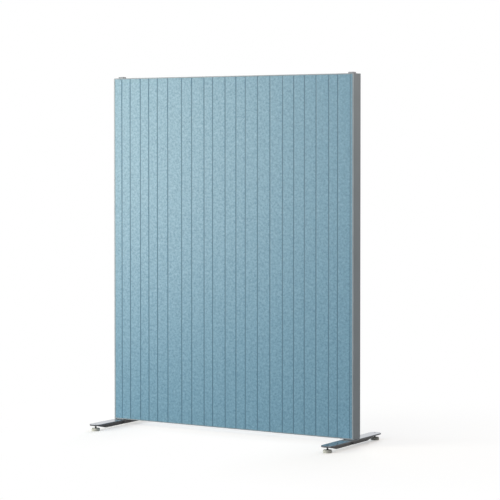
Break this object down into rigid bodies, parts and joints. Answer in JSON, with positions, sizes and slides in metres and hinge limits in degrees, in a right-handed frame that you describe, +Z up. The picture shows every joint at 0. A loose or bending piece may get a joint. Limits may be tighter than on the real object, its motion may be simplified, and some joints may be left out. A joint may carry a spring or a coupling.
{
  "type": "acoustic divider screen",
  "caption": "Free-standing felt-covered acoustic divider screen with upright V grooves, an aluminium frame and flat feet on screwed levelling glides.",
  "frame": {"origin": "on the floor, under the middle of the screen, level with the undersides of the glides' pads", "axes": "+X to the right along the screen seen from the front, +Y from the front to the back, +Z up"},
  "size_m": [1.204, 0.458, 1.5381],
  "materials": {
    "felt": "pressed fibre felt, matt",
    "core": "fibre batt",
    "frame_aluminium": "satin anodised",
    "post_steel": "zinc plated",
    "bracket_steel": "zinc plated",
    "screw_steel": "zinc plated",
    "plug_plastic": "moulded, matt grey",
    "gasket_rubber": "smooth",
    "foot_chrome": "polished",
    "glide_plastic": "moulded, grey"
  },
  "bodies": {
    "screen": {"left_end_profile": "frame_aluminium", "right_end_profile": "frame_aluminium", "top_rail": "frame_aluminium", "bottom_rail": "frame_aluminium", "corner_brackets": "bracket_steel", "corner_screws": "screw_steel", "front_felt_board": "felt", "rear_felt_board": "felt", "absorbing_core": "core", "left_post": "post_steel", "right_post": "post_steel", "left_post_plug": "plug_plastic", "right_post_plug": "plug_plastic", "left_post_block": "bracket_steel", "right_post_block": "bracket_steel", "left_base_gasket": "gasket_rubber", "right_base_gasket": "gasket_rubber", "left_foot": "foot_chrome", "right_foot": "foot_chrome", "foot_bolts": "screw_steel"},
    "front_left_pad": {"front_left_pad": "glide_plastic"},
    "front_right_pad": {"front_right_pad": "glide_plastic"},
    "rear_left_pad": {"rear_left_pad": "glide_plastic"},
    "rear_right_pad": {"rear_right_pad": "glide_plastic"},
    "front_left_stud": {"front_left_stud": "screw_steel"},
    "front_right_stud": {"front_right_stud": "screw_steel"},
    "rear_left_stud": {"rear_left_stud": "screw_steel"},
    "rear_right_stud": {"rear_right_stud": "screw_steel"}
  },
  "joints": [
    {"name": "front_left_travel", "type": "slide", "parent": "screen", "child": "front_left_pad", "axis": [0, 0, 1], "range_m": [-0.004, 0.004]},
    {"name": "front_left_turn", "type": "hinge", "parent": "front_left_pad", "child": "front_left_stud", "pos_m": [-0.576, -0.203, 0.012], "axis": [0, 0, 1], "range_deg": [-1155, 1155]},
    {"name": "front_right_travel", "type": "slide", "parent": "screen", "child": "front_right_pad", "axis": [0, 0, 1], "range_m": [-0.004, 0.004]},
    {"name": "front_right_turn", "type": "hinge", "parent": "front_right_pad", "child": "front_right_stud", "pos_m": [0.576, -0.203, 0.012], "axis": [0, 0, 1], "range_deg": [-1155, 1155]},
    {"name": "rear_left_travel", "type": "slide", "parent": "screen", "child": "rear_left_pad", "axis": [0, 0, 1], "range_m": [-0.004, 0.004]},
    {"name": "rear_left_turn", "type": "hinge", "parent": "rear_left_pad", "child": "rear_left_stud", "pos_m": [-0.576, 0.203, 0.012], "axis": [0, 0, 1], "range_deg": [-1155, 1155]},
    {"name": "rear_right_travel", "type": "slide", "parent": "screen", "child": "rear_right_pad", "axis": [0, 0, 1], "range_m": [-0.004, 0.004]},
    {"name": "rear_right_turn", "type": "hinge", "parent": "rear_right_pad", "child": "rear_right_stud", "pos_m": [0.576, 0.203, 0.012], "axis": [0, 0, 1], "range_deg": [-1155, 1155]}
  ],
  "couplings": [
    {"joint": "front_left_turn", "follows": "front_left_travel", "rad_per_m": 5026.5},
    {"joint": "front_right_turn", "follows": "front_right_travel", "rad_per_m": 5026.5},
    {"joint": "rear_left_turn", "follows": "rear_left_travel", "rad_per_m": 5026.5},
    {"joint": "rear_right_turn", "follows": "rear_right_travel", "rad_per_m": 5026.5}
  ]
}
